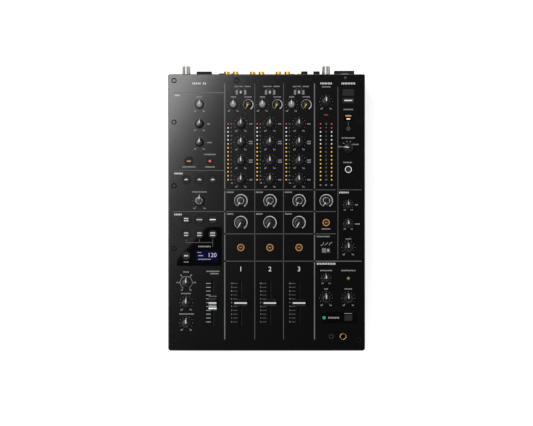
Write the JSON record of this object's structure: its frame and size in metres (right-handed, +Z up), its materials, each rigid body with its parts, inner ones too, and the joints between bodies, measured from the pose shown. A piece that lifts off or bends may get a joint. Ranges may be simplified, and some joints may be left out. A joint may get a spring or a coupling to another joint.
{
  "type": "dj mixer",
  "caption": "Three-channel club mixer with level faders, equaliser, filter and send knobs, lit meters, an effects section and rear sockets.",
  "frame": {"origin": "under the middle of the whole outline, on the table", "axes": "+X to the right of the control panel, +Y towards the rear sockets, +Z up"},
  "size_m": [0.282, 0.4084, 0.1079],
  "materials": {
    "black_steel": "satin",
    "black_panel": "satin",
    "foot_rubber": "matte",
    "screw_steel": "satin",
    "smoked_acrylic": "gloss",
    "board_laminate": "matte",
    "pot_steel": "satin",
    "lamp_lens": "gloss",
    "gold_plate": "polished",
    "socket_plastic": "matte",
    "lever_plastic": "matte",
    "button_plastic": "matte",
    "knob_rubber": "satin",
    "cap_plastic": "satin"
  },
  "bodies": {
    "chassis": {"base_pan": "black_steel", "top_panel": "black_panel", "rear_panel": "black_steel", "rubber_feet": "foot_rubber", "case_screws": "screw_steel", "smoked_windows": "smoked_acrylic", "circuit_boards": "board_laminate", "potentiometers": "pot_steel", "meter_lamps": "lamp_lens", "phono_jacks": "gold_plate", "panel_sockets": "socket_plastic", "mic_socket": "socket_plastic"},
    "trim_knob_1": {"trim_knob_1": "knob_rubber"},
    "compressor_knob_1": {"compressor_knob_1": "knob_rubber"},
    "high_knob_1": {"high_knob_1": "knob_rubber"},
    "high_mid_knob_1": {"high_mid_knob_1": "knob_rubber"},
    "low_mid_knob_1": {"low_mid_knob_1": "knob_rubber"},
    "low_knob_1": {"low_knob_1": "knob_rubber"},
    "filter_knob_1": {"filter_knob_1": "knob_rubber"},
    "send_knob_1": {"send_knob_1": "knob_rubber"},
    "trim_knob_2": {"trim_knob_2": "knob_rubber"},
    "compressor_knob_2": {"compressor_knob_2": "knob_rubber"},
    "high_knob_2": {"high_knob_2": "knob_rubber"},
    "high_mid_knob_2": {"high_mid_knob_2": "knob_rubber"},
    "low_mid_knob_2": {"low_mid_knob_2": "knob_rubber"},
    "low_knob_2": {"low_knob_2": "knob_rubber"},
    "filter_knob_2": {"filter_knob_2": "knob_rubber"},
    "send_knob_2": {"send_knob_2": "knob_rubber"},
    "trim_knob_3": {"trim_knob_3": "knob_rubber"},
    "compressor_knob_3": {"compressor_knob_3": "knob_rubber"},
    "high_knob_3": {"high_knob_3": "knob_rubber"},
    "high_mid_knob_3": {"high_mid_knob_3": "knob_rubber"},
    "low_mid_knob_3": {"low_mid_knob_3": "knob_rubber"},
    "low_knob_3": {"low_knob_3": "knob_rubber"},
    "filter_knob_3": {"filter_knob_3": "knob_rubber"},
    "send_knob_3": {"send_knob_3": "knob_rubber"},
    "mic_level_knob": {"mic_level_knob": "knob_rubber"},
    "mic_high_knob": {"mic_high_knob": "knob_rubber"},
    "mic_low_knob": {"mic_low_knob": "knob_rubber"},
    "resonance_knob": {"resonance_knob": "knob_rubber"},
    "time_knob": {"time_knob": "knob_rubber"},
    "size_knob": {"size_knob": "knob_rubber"},
    "parameter_knob": {"parameter_knob": "knob_rubber"},
    "master_level_knob": {"master_level_knob": "knob_rubber"},
    "master_filter_knob": {"master_filter_knob": "knob_rubber"},
    "channel_select_knob": {"channel_select_knob": "knob_rubber"},
    "booth_high_knob": {"booth_high_knob": "knob_rubber"},
    "booth_low_knob": {"booth_low_knob": "knob_rubber"},
    "booth_level_knob": {"booth_level_knob": "knob_rubber"},
    "link_cue_knob": {"link_cue_knob": "knob_rubber"},
    "headphone_mix_knob": {"headphone_mix_knob": "knob_rubber"},
    "headphone_level_knob": {"headphone_level_knob": "knob_rubber"},
    "channel_fader_1": {"channel_fader_1": "cap_plastic"},
    "channel_fader_2": {"channel_fader_2": "cap_plastic"},
    "channel_fader_3": {"channel_fader_3": "cap_plastic"},
    "effects_fader": {"effects_fader": "cap_plastic"},
    "input_selectors": {"input_selectors": "lever_plastic"},
    "fader_curve_switch": {"fader_curve_switch": "lever_plastic"},
    "push_buttons": {"push_buttons": "button_plastic"},
    "power_switch": {"power_switch": "lever_plastic"}
  },
  "joints": [
    {"name": "trim_turn_1", "type": "hinge", "parent": "chassis", "child": "trim_knob_1", "pos_m": [-0.04785, 0.14835, 0.09], "axis": [0, 0, -1], "range_deg": [-150, 150]},
    {"name": "compressor_turn_1", "type": "hinge", "parent": "chassis", "child": "compressor_knob_1", "pos_m": [-0.0264, 0.14835, 0.09], "axis": [0, 0, -1], "range_deg": [0, 300]},
    {"name": "high_turn_1", "type": "hinge", "parent": "chassis", "child": "high_knob_1", "pos_m": [-0.0369, 0.12055, 0.09], "axis": [0, 0, -1], "range_deg": [-150, 150]},
    {"name": "high_mid_turn_1", "type": "hinge", "parent": "chassis", "child": "high_mid_knob_1", "pos_m": [-0.0369, 0.0939, 0.09], "axis": [0, 0, -1], "range_deg": [-150, 150]},
    {"name": "low_mid_turn_1", "type": "hinge", "parent": "chassis", "child": "low_mid_knob_1", "pos_m": [-0.0369, 0.06725, 0.09], "axis": [0, 0, -1], "range_deg": [-150, 150]},
    {"name": "low_turn_1", "type": "hinge", "parent": "chassis", "child": "low_knob_1", "pos_m": [-0.0369, 0.0406, 0.09], "axis": [0, 0, -1], "range_deg": [-150, 150]},
    {"name": "filter_turn_1", "type": "hinge", "parent": "chassis", "child": "filter_knob_1", "pos_m": [-0.0369, 0.01055, 0.09], "axis": [0, 0, -1], "range_deg": [0, 300]},
    {"name": "send_turn_1", "type": "hinge", "parent": "chassis", "child": "send_knob_1", "pos_m": [-0.0369, -0.02065, 0.09], "axis": [0, 0, -1], "range_deg": [0, 300]},
    {"name": "trim_turn_2", "type": "hinge", "parent": "chassis", "child": "trim_knob_2", "pos_m": [-0.0062, 0.14835, 0.09], "axis": [0, 0, -1], "range_deg": [-150, 150]},
    {"name": "compressor_turn_2", "type": "hinge", "parent": "chassis", "child": "compressor_knob_2", "pos_m": [0.01525, 0.14835, 0.09], "axis": [0, 0, -1], "range_deg": [0, 300]},
    {"name": "high_turn_2", "type": "hinge", "parent": "chassis", "child": "high_knob_2", "pos_m": [0.00475, 0.12055, 0.09], "axis": [0, 0, -1], "range_deg": [-150, 150]},
    {"name": "high_mid_turn_2", "type": "hinge", "parent": "chassis", "child": "high_mid_knob_2", "pos_m": [0.00475, 0.0939, 0.09], "axis": [0, 0, -1], "range_deg": [-150, 150]},
    {"name": "low_mid_turn_2", "type": "hinge", "parent": "chassis", "child": "low_mid_knob_2", "pos_m": [0.00475, 0.06725, 0.09], "axis": [0, 0, -1], "range_deg": [-150, 150]},
    {"name": "low_turn_2", "type": "hinge", "parent": "chassis", "child": "low_knob_2", "pos_m": [0.00475, 0.0406, 0.09], "axis": [0, 0, -1], "range_deg": [-150, 150]},
    {"name": "filter_turn_2", "type": "hinge", "parent": "chassis", "child": "filter_knob_2", "pos_m": [0.00475, 0.01055, 0.09], "axis": [0, 0, -1], "range_deg": [0, 300]},
    {"name": "send_turn_2", "type": "hinge", "parent": "chassis", "child": "send_knob_2", "pos_m": [0.00475, -0.02065, 0.09], "axis": [0, 0, -1], "range_deg": [0, 300]},
    {"name": "trim_turn_3", "type": "hinge", "parent": "chassis", "child": "trim_knob_3", "pos_m": [0.03545, 0.14835, 0.09], "axis": [0, 0, -1], "range_deg": [-150, 150]},
    {"name": "compressor_turn_3", "type": "hinge", "parent": "chassis", "child": "compressor_knob_3", "pos_m": [0.0569, 0.14835, 0.09], "axis": [0, 0, -1], "range_deg": [0, 300]},
    {"name": "high_turn_3", "type": "hinge", "parent": "chassis", "child": "high_knob_3", "pos_m": [0.0464, 0.12055, 0.09], "axis": [0, 0, -1], "range_deg": [-150, 150]},
    {"name": "high_mid_turn_3", "type": "hinge", "parent": "chassis", "child": "high_mid_knob_3", "pos_m": [0.0464, 0.0939, 0.09], "axis": [0, 0, -1], "range_deg": [-150, 150]},
    {"name": "low_mid_turn_3", "type": "hinge", "parent": "chassis", "child": "low_mid_knob_3", "pos_m": [0.0464, 0.06725, 0.09], "axis": [0, 0, -1], "range_deg": [-150, 150]},
    {"name": "low_turn_3", "type": "hinge", "parent": "chassis", "child": "low_knob_3", "pos_m": [0.0464, 0.0406, 0.09], "axis": [0, 0, -1], "range_deg": [-150, 150]},
    {"name": "filter_turn_3", "type": "hinge", "parent": "chassis", "child": "filter_knob_3", "pos_m": [0.0464, 0.01055, 0.09], "axis": [0, 0, -1], "range_deg": [0, 300]},
    {"name": "send_turn_3", "type": "hinge", "parent": "chassis", "child": "send_knob_3", "pos_m": [0.0464, -0.02065, 0.09], "axis": [0, 0, -1], "range_deg": [0, 300]},
    {"name": "mic_level_turn", "type": "hinge", "parent": "chassis", "child": "mic_level_knob", "pos_m": [-0.0961, 0.14835, 0.09], "axis": [0, 0, -1], "range_deg": [-150, 150]},
    {"name": "mic_high_turn", "type": "hinge", "parent": "chassis", "child": "mic_high_knob", "pos_m": [-0.0961, 0.12055, 0.09], "axis": [0, 0, -1], "range_deg": [-150, 150]},
    {"name": "mic_low_turn", "type": "hinge", "parent": "chassis", "child": "mic_low_knob", "pos_m": [-0.0961, 0.0939, 0.09], "axis": [0, 0, -1], "range_deg": [-150, 150]},
    {"name": "resonance_turn", "type": "hinge", "parent": "chassis", "child": "resonance_knob", "pos_m": [-0.0961, 0.01055, 0.09], "axis": [0, 0, -1], "range_deg": [-150, 150]},
    {"name": "time_turn", "type": "hinge", "parent": "chassis", "child": "time_knob", "pos_m": [-0.1151, -0.10645, 0.09], "axis": [0, 0, -1], "range_deg": [-150, 150]},
    {"name": "size_turn", "type": "hinge", "parent": "chassis", "child": "size_knob", "pos_m": [-0.1151, -0.13535, 0.09], "axis": [0, 0, -1], "range_deg": [-150, 150]},
    {"name": "parameter_turn", "type": "hinge", "parent": "chassis", "child": "parameter_knob", "pos_m": [-0.1151, -0.16425, 0.09], "axis": [0, 0, -1], "range_deg": [-150, 150]},
    {"name": "master_level_turn", "type": "hinge", "parent": "chassis", "child": "master_level_knob", "pos_m": [0.0852, 0.15235, 0.09], "axis": [0, 0, -1], "range_deg": [-150, 150]},
    {"name": "master_filter_turn", "type": "hinge", "parent": "chassis", "child": "master_filter_knob", "pos_m": [0.0852, 0.01055, 0.09], "axis": [0, 0, -1], "range_deg": [0, 300]},
    {"name": "channel_select_turn", "type": "hinge", "parent": "chassis", "child": "channel_select_knob", "pos_m": [0.117, 0.08635, 0.09], "axis": [0, 0, -1], "range_deg": [0, 120]},
    {"name": "booth_high_turn", "type": "hinge", "parent": "chassis", "child": "booth_high_knob", "pos_m": [0.117, 0.00485, 0.09], "axis": [0, 0, -1], "range_deg": [-150, 150]},
    {"name": "booth_low_turn", "type": "hinge", "parent": "chassis", "child": "booth_low_knob", "pos_m": [0.117, -0.02255, 0.09], "axis": [0, 0, -1], "range_deg": [-150, 150]},
    {"name": "booth_level_turn", "type": "hinge", "parent": "chassis", "child": "booth_level_knob", "pos_m": [0.117, -0.05635, 0.09], "axis": [0, 0, -1], "range_deg": [-150, 150]},
    {"name": "link_cue_turn", "type": "hinge", "parent": "chassis", "child": "link_cue_knob", "pos_m": [0.0852, -0.10045, 0.09], "axis": [0, 0, -1], "range_deg": [-150, 150]},
    {"name": "headphone_mix_turn", "type": "hinge", "parent": "chassis", "child": "headphone_mix_knob", "pos_m": [0.0852, -0.12895, 0.09], "axis": [0, 0, -1], "range_deg": [-150, 150]},
    {"name": "headphone_level_turn", "type": "hinge", "parent": "chassis", "child": "headphone_level_knob", "pos_m": [0.117, -0.12895, 0.09], "axis": [0, 0, -1], "range_deg": [-150, 150]},
    {"name": "channel_fader_1_slide", "type": "slide", "parent": "chassis", "child": "channel_fader_1", "axis": [0, 1, 0], "range_m": [-0.0275, 0.0275]},
    {"name": "channel_fader_2_slide", "type": "slide", "parent": "chassis", "child": "channel_fader_2", "axis": [0, 1, 0], "range_m": [-0.0275, 0.0275]},
    {"name": "channel_fader_3_slide", "type": "slide", "parent": "chassis", "child": "channel_fader_3", "axis": [0, 1, 0], "range_m": [-0.0275, 0.0275]},
    {"name": "effects_fader_slide", "type": "slide", "parent": "chassis", "child": "effects_fader", "axis": [0, 1, 0], "range_m": [-0.0275, 0.0275]},
    {"name": "input_select_slide", "type": "slide", "parent": "chassis", "child": "input_selectors", "axis": [1, 0, 0], "range_m": [-0.003, 0.003]},
    {"name": "fader_curve_slide", "type": "slide", "parent": "chassis", "child": "fader_curve_switch", "axis": [1, 0, 0], "range_m": [-0.006, 0]},
    {"name": "button_press", "type": "slide", "parent": "chassis", "child": "push_buttons", "axis": [0, 0, -1], "range_m": [0, 0.0009], "stiffness_N_per_m": 2000},
    {"name": "power_rock", "type": "hinge", "parent": "chassis", "child": "power_switch", "pos_m": [0.1129, 0.18875, 0.071], "axis": [1, 0, 0], "range_deg": [-16, 0]}
  ]
}
